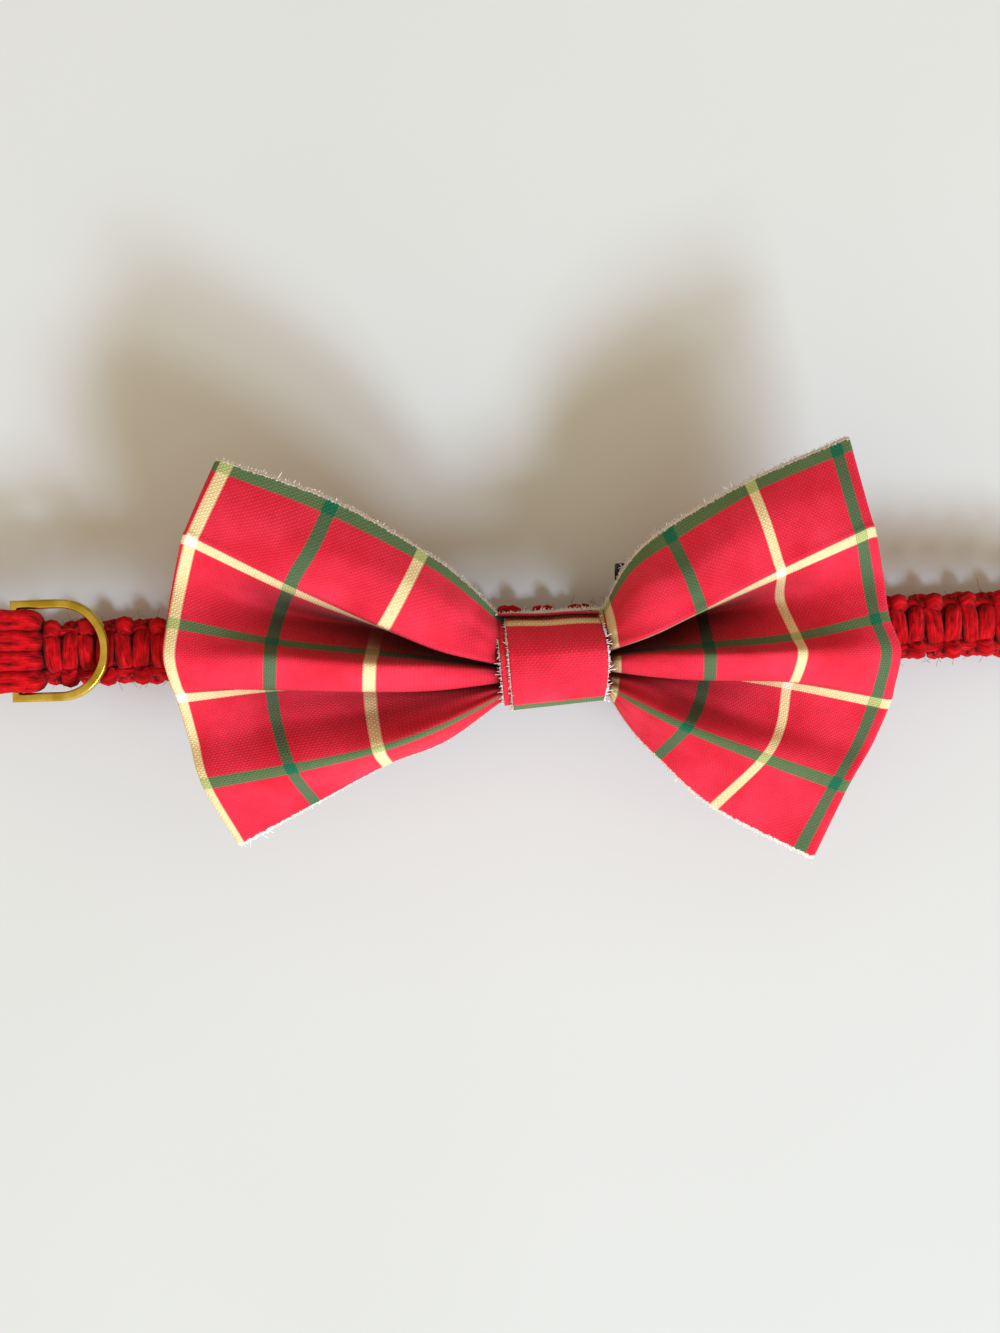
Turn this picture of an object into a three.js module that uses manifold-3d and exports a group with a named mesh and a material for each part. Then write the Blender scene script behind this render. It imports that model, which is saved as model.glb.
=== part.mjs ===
// A pet collar of knotted cotton cord with a D-ring and a plaid bow tie, lying on its back.
// Millimetres. X runs along the flattened collar, Y across it, +Z up through the bow.
// While it is built, x = 0 is the middle of the bow, y = 0 the middle of the strap, z = 0 the floor.
// At the end the whole group is centred on its box, so the origin is the middle of its underside.

import * as THREE from 'three';
import { mergeVertices } from 'three/addons/utils/BufferGeometryUtils.js';
import Module from 'manifold-3d';

const wasm = await Module();
wasm.setup();

// ---- driving dimensions -------------------------------------------------------------------------

const GAP = 0.3;                  // air between neighbouring pieces

const STRAP_WIDTH = 12;           // a sinnet of square knots in 3 mm cord
const STRAP_THICK = 4.8;
const KNOT_PITCH = 6.1;
const KNOT_DIP = 0.09;            // how far the edge draws in between two knots, as a share
const LEFT_BEND_X = -106;         // the two soft bends in which the lying collar turns back
const LEFT_BEND_R = 8;
const RIGHT_BEND_X = 86;
const RIGHT_BEND_R = 5.5;

const CLASP_X = -40;              // the closure, in the hidden run underneath
const CLASP_LENGTH = 26;
const CLASP_WIDTH = 15;
const CLASP_THICK = 4.4;
const CLASP_BAR = 2;              // round end bars that the cord ends are looped over
const CLASP_NOTCH = 3.6;          // depth of the open notch behind each bar
const EYE_HALF_WIDTH = 4.6;       // half width of the cord ends at the bars

const RING_BAR_X = -94;           // middle of the D-ring's straight bar
const RING_Y = 0.4;
const RING_LENGTH = 17.8;
const RING_HEIGHT = 17.8;         // outside; the free width inside is 14.6
const RING_WIRE = 1.6;
const RING_BEVEL = 0.35;
const RING_LIFT = 2.7;            // how much higher the arc lies than the bar
const CORDS_OVER_BAR = 1.6;       // rise of the four cords that pass over the bar
const CORDS_SPREAD = 1.0;         // they fill the ring's width
const CORDS_REACH = 5;

const CLOTH = 1;                  // wall of the bow and of its wrap
const BOW_Z = 23.65;              // height of the pinched middle of the bow
const FOLD_TURN = 1.2;            // radius in which the cloth turns back at the tips
const WRAP_CORNER = 1.5;

const ELASTIC = 1;
const KEEPER_WIDTH = 8;

// ---- shared makers ------------------------------------------------------------------------------

// Joins rings of points into one closed skin. An open loft gets a flat cap at both ends.
function loft(rings, closed) {
  const count = rings[0].length;
  const indices = [];
  const steps = closed ? rings.length : rings.length - 1;
  for (let i = 0; i < steps; i += 1) {
    const a = i * count;
    const b = ((i + 1) % rings.length) * count;
    for (let k = 0; k < count; k += 1) {
      const n = (k + 1) % count;
      indices.push(a + k, b + k, b + n, a + k, b + n, a + n);
    }
  }
  if (!closed) {
    const last = (rings.length - 1) * count;
    for (let k = 1; k < count - 1; k += 1) {
      indices.push(0, k, k + 1, last, last + k + 1, last + k);
    }
  }
  const geometry = new THREE.BufferGeometry().setFromPoints(rings.flat());
  geometry.setIndex(indices);
  return facingOut(geometry);
}

// Turns every face round when the skin encloses a negative volume.
function facingOut(geometry) {
  const point = geometry.getAttribute('position');
  const index = geometry.index.array;
  const [a, b, c] = [new THREE.Vector3(), new THREE.Vector3(), new THREE.Vector3()];
  let volume = 0;
  for (let i = 0; i < index.length; i += 3) {
    a.fromBufferAttribute(point, index[i]);
    b.fromBufferAttribute(point, index[i + 1]);
    c.fromBufferAttribute(point, index[i + 2]);
    volume += a.dot(b.cross(c));
  }
  if (volume < 0) geometry.setIndex([...index].reverse());
  return geometry;
}

function solidOf(geometry) {
  const bare = new THREE.BufferGeometry();
  bare.setAttribute('position', geometry.getAttribute('position'));
  if (geometry.index) bare.setIndex(geometry.index);
  const merged = mergeVertices(bare, 1e-3);
  return new wasm.Manifold(new wasm.Mesh({
    numProp: 3,
    vertProperties: merged.getAttribute('position').array,
    triVerts: new Uint32Array(merged.index.array),
  }));
}

function geometryOf(solid) {
  const mesh = solid.getMesh();
  const geometry = new THREE.BufferGeometry();
  geometry.setAttribute('position', new THREE.BufferAttribute(mesh.vertProperties, 3));
  geometry.setIndex(new THREE.BufferAttribute(mesh.triVerts, 1));
  return geometry;
}

function boxBetween(low, high) {
  const size = high.map((value, i) => value - low[i]);
  const middle = high.map((value, i) => (value + low[i]) / 2);
  return new THREE.BoxGeometry(...size).translate(...middle);
}

function piece(name, geometry, colour, roughness, metalness) {
  const material = new THREE.MeshStandardMaterial({ color: colour, roughness, metalness });
  const mesh = new THREE.Mesh(geometry, material);
  mesh.name = name;
  return mesh;
}

// A strip of cloth or elastic: a path in the YZ plane with a wall either side of it, as wide in X
// as `reach` says at each share of the path.
function strip(path, wall, reach, closed) {
  const last = path.length - 1;
  const rings = path.map(([y, z], i) => {
    const before = path[closed ? (i + last) % path.length : Math.max(i - 1, 0)];
    const after = path[closed ? (i + 1) % path.length : Math.min(i + 1, last)];
    const run = new THREE.Vector2(after[0] - before[0], after[1] - before[1]).normalize();
    const [ny, nz] = [-run.y * wall / 2, run.x * wall / 2];
    const [x0, x1] = reach(i / last);
    return [
      new THREE.Vector3(x0, y + ny, z + nz),
      new THREE.Vector3(x1, y + ny, z + nz),
      new THREE.Vector3(x1, y - ny, z - nz),
      new THREE.Vector3(x0, y - ny, z - nz),
    ];
  });
  return loft(rings, closed);
}

// Corners joined by straight runs, each corner rounded off in four steps.
function roundedPath(corners, radius, closed) {
  const points = [];
  corners.forEach(([y, z], i) => {
    const end = !closed && (i === 0 || i === corners.length - 1);
    if (end) {
      points.push([y, z]);
      return;
    }
    const corner = new THREE.Vector2(y, z);
    const towards = (other) => new THREE.Vector2(...other).sub(corner).setLength(radius).add(corner);
    const from = towards(corners[(i + corners.length - 1) % corners.length]);
    const to = towards(corners[(i + 1) % corners.length]);
    const round = new THREE.QuadraticBezierCurve(from, corner, to);
    points.push(...round.getPoints(4).map((p) => [p.x, p.y]));
  });
  return points;
}

// ---- strap --------------------------------------------------------------------------------------

// The collar lies flat: a belt round two circles that rest on the floor. It starts at the right
// bar of the clasp, runs right, turns up, comes back over the top and ends at the left bar.
const barReach = CLASP_LENGTH / 2 - CLASP_BAR / 2;
const runZ = STRAP_THICK / 2;
const topSlope = 2 * Math.atan2(LEFT_BEND_R - RIGHT_BEND_R, RIGHT_BEND_X - LEFT_BEND_X);
const topTurn = Math.PI / 2 - topSlope;

const belt = new THREE.Path();
belt.moveTo(CLASP_X + barReach, runZ);
belt.lineTo(RIGHT_BEND_X, runZ);
belt.absarc(RIGHT_BEND_X, runZ + RIGHT_BEND_R, RIGHT_BEND_R, -Math.PI / 2, topTurn, false);
belt.absarc(LEFT_BEND_X, runZ + LEFT_BEND_R, LEFT_BEND_R, topTurn, 1.5 * Math.PI, false);
belt.lineTo(CLASP_X - barReach, runZ);

// Height of the top run's centreline at x.
function topRunZ(x) {
  const tangentX = LEFT_BEND_X + LEFT_BEND_R * Math.sin(topSlope);
  const tangentZ = runZ + LEFT_BEND_R * (1 + Math.cos(topSlope));
  return tangentZ - (x - tangentX) * Math.tan(topSlope);
}

const ringTilt = Math.asin(RING_LIFT / (RING_LENGTH - RING_WIRE));
const ringBarZ = topRunZ(RING_BAR_X) + 0.5;

// The wire's cross-section with clear air round it, long enough to pass through the whole strap.
function barClearance() {
  const side = RING_WIRE + 2 * GAP;
  const bar = new THREE.BoxGeometry(side, 3 * STRAP_WIDTH, side);
  return bar.rotateY(-ringTilt).translate(RING_BAR_X, 0, ringBarZ);
}

function strap() {
  const sides = 10;
  const ringsPerKnot = 3;
  const length = belt.getLength();
  const steps = Math.round((length / KNOT_PITCH) * ringsPerKnot);
  const rings = [];
  for (let i = 0; i <= steps; i += 1) {
    const share = i / steps;
    const at = belt.getPoint(share);
    const run = belt.getTangent(share);
    const swell = 1 - KNOT_DIP * (1 - Math.cos((2 * Math.PI * i) / ringsPerKnot)) / 2;
    const fromEnd = Math.min(share, 1 - share) * length;
    const open = THREE.MathUtils.smoothstep(fromEnd, 2.5, 9);
    const onTop = at.y > runZ + RIGHT_BEND_R;
    const overBar = onTop ? Math.exp(-(((at.x - RING_BAR_X) / CORDS_REACH) ** 2)) : 0;
    const halfWidth = THREE.MathUtils.lerp(EYE_HALF_WIDTH, (STRAP_WIDTH / 2) * swell, open)
      + CORDS_SPREAD * overBar;
    const halfThick = (STRAP_THICK / 2) * (swell + KNOT_DIP / 3);
    const ring = [];
    for (let k = 0; k < sides; k += 1) {
      const angle = (2 * Math.PI * (k + 0.5)) / sides;
      const across = Math.sign(Math.cos(angle)) * Math.abs(Math.cos(angle)) ** 0.7;
      const outward = Math.sign(Math.sin(angle)) * Math.abs(Math.sin(angle)) ** 0.7;
      const lift = Math.min(halfThick, runZ) * outward + CORDS_OVER_BAR * overBar * Math.max(outward, 0);
      ring.push(new THREE.Vector3(
        at.x + run.y * lift,
        across * halfWidth + RING_Y * overBar,
        at.y - run.x * lift,
      ));
    }
    rings.push(ring);
  }
  // Each end reaches past the clasp bar by most of the cord's thickness, and wraps round it.
  const past = STRAP_THICK / 2 - 0.3;
  rings.unshift(rings[0].map((p) => p.clone().setX(p.x - past)));
  rings.push(rings[rings.length - 1].map((p) => p.clone().setX(p.x + past)));

  const eyeRadius = CLASP_BAR / 2 + GAP;
  let solid = solidOf(loft(rings, false)).subtract(solidOf(barClearance()));
  for (const side of [-1, 1]) {
    const eye = new THREE.CylinderGeometry(eyeRadius, eyeRadius, 3 * STRAP_WIDTH, 12);
    eye.translate(CLASP_X + side * barReach, 0, runZ);
    solid = solid.subtract(solidOf(eye));
  }
  return piece('strap', geometryOf(solid), 0xb3081f, 0.9, 0);
}

// ---- clasp --------------------------------------------------------------------------------------

// A plain flat closure: a plate with an open notch and a round bar at each end.
function clasp() {
  const outline = new THREE.Shape();
  const [halfX, halfY, corner] = [CLASP_LENGTH / 2, CLASP_WIDTH / 2, 2];
  outline.moveTo(-halfX + corner, -halfY);
  outline.absarc(halfX - corner, -halfY + corner, corner, -Math.PI / 2, 0, false);
  outline.absarc(halfX - corner, halfY - corner, corner, 0, Math.PI / 2, false);
  outline.absarc(-halfX + corner, halfY - corner, corner, Math.PI / 2, Math.PI, false);
  outline.absarc(-halfX + corner, -halfY + corner, corner, Math.PI, 1.5 * Math.PI, false);
  const bevel = 0.4;
  const plate = new THREE.ExtrudeGeometry(outline, {
    depth: CLASP_THICK - 2 * bevel,
    bevelThickness: bevel,
    bevelSize: bevel,
    bevelOffset: -bevel,
    bevelSegments: 1,
    curveSegments: 4,
  });
  let solid = solidOf(plate.translate(0, 0, bevel));
  const notchHalf = EYE_HALF_WIDTH + 0.5;
  for (const side of [-1, 1]) {
    const inner = side * (halfX - CLASP_NOTCH);
    const outer = side * (halfX + 1);
    const notch = boxBetween(
      [Math.min(inner, outer), -notchHalf, -1],
      [Math.max(inner, outer), notchHalf, CLASP_THICK + 1],
    );
    const bar = new THREE.CylinderGeometry(CLASP_BAR / 2, CLASP_BAR / 2, 2 * notchHalf + 2, 12);
    bar.translate(side * barReach, 0, runZ);
    solid = solid.subtract(solidOf(notch)).add(solidOf(bar));
  }
  const mesh = piece('clasp', geometryOf(solid), 0x2a0a0e, 0.5, 0);
  mesh.position.x = CLASP_X;
  return mesh;
}

// ---- D-ring -------------------------------------------------------------------------------------

// Flat-faced wire with bevelled edges: a straight bar, two legs and a half round. The knotted cords
// pass over the bar and under the arc, so the ring lies tilted.
function dRing() {
  const half = RING_HEIGHT / 2;
  const barSide = -RING_WIRE / 2;
  const arcX = RING_LENGTH - RING_WIRE / 2 - half;
  function outlineAt(inset, path) {
    path.moveTo(barSide + inset, -half + inset);
    path.lineTo(arcX, -half + inset);
    path.absarc(arcX, 0, half - inset, -Math.PI / 2, Math.PI / 2, false);
    path.lineTo(barSide + inset, half - inset);
    path.closePath();
    return path;
  }
  const outline = outlineAt(0, new THREE.Shape());
  outline.holes.push(outlineAt(RING_WIRE, new THREE.Path()));
  const wire = new THREE.ExtrudeGeometry(outline, {
    depth: RING_WIRE - 2 * RING_BEVEL,
    bevelThickness: RING_BEVEL,
    bevelSize: RING_BEVEL,
    bevelOffset: -RING_BEVEL,
    bevelSegments: 1,
    curveSegments: 14,
  });
  wire.translate(0, 0, -RING_WIRE / 2 + RING_BEVEL);
  const mesh = piece('d_ring', wire, 0xc9a64b, 0.25, 1);
  mesh.position.set(RING_BAR_X, RING_Y, ringBarZ);
  mesh.rotation.y = -ringTilt;
  return mesh;
}

// ---- bow ----------------------------------------------------------------------------------------

// One sleeve of cloth, folded at both tips and pinched in the middle. Each row below is a fold
// line from the tip to the pinch, as [x, y, height over BOW_Z]. The columns are the tip, two
// places along the wing, the neck where the folds close up, and the edge of the wrap.
const LEFT_WING = [
  { line: 'top edge',     tip: [-54, 31, 10],    outer: [-37, 24, 6],    inner: [-22, 15, 4],
    neck: [-15.5, 10, 2],   pinch: [-9.7, 3.0, 0.4] },
  { line: 'top lobe',     tip: [-57, 24.5, 14],  outer: [-40, 15.5, 12], inner: [-25, 8.5, 10],
    neck: [-18, 4.5, 7],    pinch: [-9.7, 1.6, 1.6] },
  { line: 'top crest',    tip: [-60, 18, 15.5],  outer: [-44, 9, 14],    inner: [-29, 2.5, 12],
    neck: [-19.5, -0.5, 9], pinch: [-9.7, 0.2, 2.2] },
  { line: 'upper valley', tip: [-62, 11.5, 12],  outer: [-46.5, 4.5, 8], inner: [-30, 0, 5],
    neck: [-20, -2.5, 3],   pinch: [-9.7, -1.2, 0] },
  { line: 'ridge top',    tip: [-63, 4, 14.5],   outer: [-47.5, 0, 12],  inner: [-31, -2.5, 9],
    neck: [-20.5, -4.5, 6], pinch: [-9.7, -2.5, 1.6] },
  { line: 'ridge',        tip: [-63.5, -2, 16],  outer: [-47.5, -4, 15.5], inner: [-31.5, -6, 13],
    neck: [-20.5, -7, 8.5], pinch: [-9.7, -3.8, 2.2] },
  { line: 'lower valley', tip: [-62, -8.5, 12.5], outer: [-48.5, -8, 9.5], inner: [-32, -9, 5],
    neck: [-21, -9.2, 2.5], pinch: [-9.7, -5.0, 0] },
  { line: 'lower lobe',   tip: [-60, -15.5, 11], outer: [-47.5, -13, 8], inner: [-32, -12.5, 5.5],
    neck: [-20.5, -11.5, 3.5], pinch: [-9.7, -6.3, 1.6] },
  { line: 'lower crest',  tip: [-58, -23, 13.5], outer: [-45, -21, 11],  inner: [-30.5, -18, 8],
    neck: [-20, -14.5, 5],  pinch: [-9.7, -7.6, 2.2] },
  { line: 'bottom edge',  tip: [-52.5, -33.5, 10], outer: [-41.5, -27, 6], inner: [-29.5, -21, 2],
    neck: [-19.5, -17.5, 1], pinch: [-9.7, -8.7, 0.4] },
];

const RIGHT_WING = [
  { line: 'top edge',     tip: [49, 32, 7],      outer: [33.5, 25, 5],   inner: [19, 15.5, 3],
    neck: [13.5, 12, 2],    pinch: [8.9, 3.0, 0.4] },
  { line: 'top lobe',     tip: [50.5, 23.5, 10], outer: [35.5, 17.5, 10], inner: [23, 9, 9],
    neck: [15.5, 6, 6.5],   pinch: [8.9, 1.6, 1.6] },
  { line: 'top crest',    tip: [52.5, 15.5, 11], outer: [38, 9, 12],     inner: [25, 3.5, 11],
    neck: [16.5, 0.5, 8.5], pinch: [8.9, 0.2, 2.2] },
  { line: 'upper valley', tip: [54, 8, 8.5],     outer: [38.5, 4.5, 7],  inner: [25.5, 0.5, 5],
    neck: [17, -1.5, 3],    pinch: [8.9, -1.2, 0] },
  { line: 'ridge top',    tip: [54.5, 1.5, 10],  outer: [40.5, -1.5, 10], inner: [25.5, -3, 9],
    neck: [17, -3.5, 6],    pinch: [8.9, -2.5, 1.6] },
  { line: 'ridge',        tip: [56, -5, 11.5],   outer: [41, -6, 13],    inner: [25.5, -6, 12.5],
    neck: [17, -5.8, 8.5],  pinch: [8.9, -3.8, 2.2] },
  { line: 'lower valley', tip: [54.5, -13, 8],   outer: [39, -10, 8],    inner: [25.5, -8.8, 5],
    neck: [17, -8.2, 2.5],  pinch: [8.9, -5.0, 0] },
  { line: 'lower lobe',   tip: [51.5, -20, 7.5], outer: [37.5, -16, 7],  inner: [24, -12.5, 5.5],
    neck: [16, -10.5, 3.5], pinch: [8.9, -6.3, 1.6] },
  { line: 'lower crest',  tip: [47, -27, 9],     outer: [34.5, -21.5, 9.5], inner: [21.5, -16.5, 7.5],
    neck: [14.5, -13, 5],   pinch: [8.9, -7.6, 2.2] },
  { line: 'bottom edge',  tip: [41, -39, 5.5],   outer: [26, -30, 5],    inner: [17, -21, 3],
    neck: [12.5, -16.5, 1], pinch: [8.9, -8.7, 0.4] },
];

// Height of the back layer over BOW_Z in each column. At the tip it follows the front instead.
const BACK_HEIGHT = { outer: 2, inner: -0.5, neck: -1.3, pinch: -1.85 };
const COLUMNS = ['tip', 'outer', 'inner', 'neck', 'pinch'];

// Weights of four neighbouring rows that carry a smooth curve past them without overshooting.
function smoothWeights(t) {
  return [(1 - t) ** 3, 3 * t ** 3 - 6 * t ** 2 + 4, -3 * t ** 3 + 3 * t ** 2 + 3 * t + 1, t ** 3]
    .map((weight) => weight / 6);
}

// Weights of four neighbouring columns for a curve that passes through the middle two.
function passingWeights(t) {
  return [-t + 2 * t ** 2 - t ** 3, 2 - 5 * t ** 2 + 3 * t ** 3, t + 4 * t ** 2 - 3 * t ** 3,
    t ** 3 - t ** 2].map((weight) => weight / 2);
}

// Blends a list of points at a fractional place, carrying the ends on in a straight line.
function blend(list, place, weightsAt) {
  const cell = Math.min(Math.floor(place), list.length - 2);
  const weights = weightsAt(place - cell);
  const take = (i) => {
    if (i < 0) return list[0].clone().multiplyScalar(2).sub(list[1]);
    if (i >= list.length) return list[list.length - 1].clone().multiplyScalar(2).sub(list[list.length - 2]);
    return list[i];
  };
  const sum = new THREE.Vector3();
  weights.forEach((weight, n) => sum.addScaledVector(take(cell - 1 + n), weight));
  return sum;
}

function bow() {
  const stepsAcross = 2;
  const stepsAlong = 2;
  const rows = LEFT_WING.length;

  // Front: every row runs from the left tip to the right tip through the pinch.
  const frontRows = LEFT_WING.map((left, row) => {
    const right = RIGHT_WING[row];
    return [
      ...COLUMNS.map((column) => new THREE.Vector3(...left[column])),
      ...[...COLUMNS].reverse().map((column) => new THREE.Vector3(...right[column])),
    ];
  });
  // Back: the same outline, evenly spread between the two raw edges and nearly flat.
  const backRows = frontRows.map((front, row) => front.map((point, c) => {
    const column = COLUMNS[Math.min(c, 2 * COLUMNS.length - 1 - c)];
    if (column === 'tip') return point.clone().setZ(point.z - 2 * FOLD_TURN);
    const share = row / (rows - 1);
    const even = frontRows[0][c].clone().lerp(frontRows[rows - 1][c], share);
    return new THREE.Vector3((point.x + even.x) / 2, even.y, BACK_HEIGHT[column]);
  }));

  const columns = 2 * COLUMNS.length;
  const lineAt = (table, c) => {
    const curve = table.map((row) => blend(row, c, passingWeights));
    const line = [];
    for (let k = 0; k <= (rows - 1) * stepsAcross; k += 1) {
      line.push(blend(curve, k / stepsAcross, smoothWeights));
    }
    return line;
  };
  const lines = [];
  const turn = (line, side) => {
    // Half round from one layer to the other, centred below the front layer's tip line.
    for (const angle of [45, 0, -45]) {
      const a = THREE.MathUtils.degToRad(angle) * side;
      lines.push(line.map((p) => new THREE.Vector3(
        p.x + side * FOLD_TURN * Math.cos(a),
        p.y,
        p.z - FOLD_TURN + FOLD_TURN * Math.sin(a),
      )));
    }
  };
  const steps = (columns - 1) * stepsAlong;
  for (let i = 0; i <= steps; i += 1) lines.push(lineAt(frontRows, i / stepsAlong));
  turn(lineAt(frontRows, columns - 1), 1);
  for (let i = steps; i >= 0; i -= 1) lines.push(lineAt(backRows, i / stepsAlong));
  turn(lineAt(frontRows, 0), -1);

  // The wall stands half its thickness either side of this middle surface.
  const rings = lines.map((line, i) => {
    const before = lines[(i + lines.length - 1) % lines.length];
    const after = lines[(i + 1) % lines.length];
    const offset = line.map((p, k) => {
      const along = after[k].clone().sub(before[k]);
      const across = line[Math.min(k + 1, line.length - 1)].clone().sub(line[Math.max(k - 1, 0)]);
      return along.cross(across).setLength(CLOTH / 2);
    });
    const outside = line.map((p, k) => p.clone().add(offset[k]));
    const inside = line.map((p, k) => p.clone().sub(offset[k]));
    return [...outside, ...inside.reverse()];
  });
  const mesh = piece('bow', loft(rings, true), 0xc8102e, 0.85, 0);
  mesh.position.z = BOW_Z;
  return mesh;
}

// ---- wrap ---------------------------------------------------------------------------------------

// One strip wound nearly twice round the pinched middle. Its outer end is the raw edge near the
// top of the front; the turn beneath shows above it and a little to its left.
function wrap() {
  const path = roundedPath([
    [3.4, BOW_Z + 4.75],
    [-10.9, BOW_Z + 4.75],
    [-10.9, BOW_Z - 4.45],
    [3.9, BOW_Z - 4.45],
    [3.9, BOW_Z + 3.45],
    [-9.6, BOW_Z + 3.45],
    [-9.6, BOW_Z - 3.15],
    [2.4, BOW_Z - 3.15],
  ], WRAP_CORNER, false);
  const outer = [-8.2, 8.7];
  const under = [-9.7, 8.4];
  const reach = (share) => outer.map((x, i) => THREE.MathUtils.lerp(x, under[i], share));
  return piece('wrap', strip(path, CLOTH, reach, false), 0xc8102e, 0.85, 0);
}

// ---- elastic keepers ----------------------------------------------------------------------------

// Each is a band of flat elastic closed round the strap behind a wing.
function keeper(name, x, yLow, yHigh) {
  const low = topRunZ(x + KEEPER_WIDTH / 2) - STRAP_THICK / 2 - GAP - ELASTIC / 2;
  const high = topRunZ(x - KEEPER_WIDTH / 2) + STRAP_THICK / 2 + GAP + ELASTIC / 2;
  const path = roundedPath([
    [yLow, low],
    [yHigh, low],
    [yHigh, high],
    [yLow, high],
  ], 1.8, true);
  const reach = () => [x - KEEPER_WIDTH / 2, x + KEEPER_WIDTH / 2];
  return piece(name, strip(path, ELASTIC, reach, true), 0x17151a, 0.8, 0);
}

// ---- assembly -----------------------------------------------------------------------------------

const collar = new THREE.Group();
collar.add(
  strap(),
  clasp(),
  dRing(),
  bow(),
  wrap(),
  keeper('keeper_left', -18, -9, 7.2),
  keeper('keeper_right', 15.3, -8.6, 12.1),
);
const box = new THREE.Box3().setFromObject(collar, true);
const middle = box.getCenter(new THREE.Vector3());
collar.position.set(-middle.x, -middle.y, -box.min.z);

export default collar;
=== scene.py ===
import math

import bpy
import numpy as np
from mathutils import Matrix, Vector


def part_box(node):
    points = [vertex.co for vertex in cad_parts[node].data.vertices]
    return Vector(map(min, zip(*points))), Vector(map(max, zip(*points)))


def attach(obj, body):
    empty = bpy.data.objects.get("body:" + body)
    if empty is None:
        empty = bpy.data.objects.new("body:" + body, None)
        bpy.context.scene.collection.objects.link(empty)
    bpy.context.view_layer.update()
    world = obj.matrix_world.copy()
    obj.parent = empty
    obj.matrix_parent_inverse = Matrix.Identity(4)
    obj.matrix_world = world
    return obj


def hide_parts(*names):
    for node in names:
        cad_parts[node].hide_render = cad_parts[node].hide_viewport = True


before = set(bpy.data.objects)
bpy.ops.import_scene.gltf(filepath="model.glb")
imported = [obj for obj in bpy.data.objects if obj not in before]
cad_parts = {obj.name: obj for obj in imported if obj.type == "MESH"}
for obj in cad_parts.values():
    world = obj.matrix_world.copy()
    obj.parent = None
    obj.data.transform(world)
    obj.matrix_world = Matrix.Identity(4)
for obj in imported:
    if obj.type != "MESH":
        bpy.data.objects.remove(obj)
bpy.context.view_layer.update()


# ---- Knotted strap ----------------------------------------------------------------------------
# A flat sinnet of square knots in single-strand cotton cord: two straight filler cords, one cord
# that crosses over them twice in every knot, and one that crosses behind and loops over the edges.
# It is one long belt, lying folded in two soft bends, looped at both ends round the clasp's bars.

MM = 0.001
STRAP_WIDTH = 12
STRAP_THICK = 4.8
KNOT_PITCH = 6.1
LEFT_BEND = (-106, 8)             # where each bend is centred along the strap, and its radius
RIGHT_BEND = (86, 5.5)
CLASP_X = -40
CLASP_REACH = 12                  # middle of the clasp to the middle of either end bar
RING_BAR_X = -94
RING_BAR_RISE = 0.5               # height of the ring's bar over the middle of the strap
RING_SPAN = 4.2                   # half the length of the cords laid over the ring's bar
RING_PRESS = 1.35                 # how far they press the knots under them down
RUN_Z = STRAP_THICK / 2
BEND_STEPS = 160                  # points round each bend
TOP_SLOPE = 2 * math.atan2(LEFT_BEND[1] - RIGHT_BEND[1], RIGHT_BEND[0] - LEFT_BEND[0])

# All shapes are worked out in millimetres from the middle of the bow, and placed by the wrap.
WRAP_SIDE, WRAP_TOP = -9.7, 4.4
wrap_low, wrap_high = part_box("wrap")
PLACE = np.array([wrap_low.x / MM - WRAP_SIDE, wrap_high.y / MM - WRAP_TOP, 0.0])


def linear(colour):
    """An sRGB hex colour as linear RGBA: each share c becomes ((c + 0.055) / 1.055) ^ 2.4, or
    c / 12.92 where it is 0.04045 or less."""
    shares = np.array([int(colour[i:i + 2], 16) / 255 for i in (1, 3, 5)])
    low, high = shares / 12.92, ((shares + 0.055) / 1.055) ** 2.4
    return (*np.where(shares <= 0.04045, low, high), 1.0)


def node(tree, kind, links=(), stops=(), **settings):
    """Adds one node. Settings are its own properties or its sockets' values; links are (socket to
    fill, node that fills it, its output); stops are a colour ramp's (place, hex colour)."""
    made = tree.nodes.new("ShaderNode" + kind)
    for key, value in settings.items():
        if hasattr(made, key):
            setattr(made, key, value)
        else:
            made.inputs[key.replace("_", " ")].default_value = value
    for _ in stops[2:]:
        made.color_ramp.elements.new(0.5)
    for k, (place, colour) in enumerate(stops):
        made.color_ramp.elements[k].position = place
        made.color_ramp.elements[k].color = linear(colour)
    for socket, source, output in links:
        tree.links.new(source.outputs[output], made.inputs[socket])
    return made


def new_material(name):
    """An empty material of that name, and its node tree."""
    material = bpy.data.materials.new(name)
    material.use_nodes = True
    material.node_tree.nodes.clear()
    return material, material.node_tree


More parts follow.
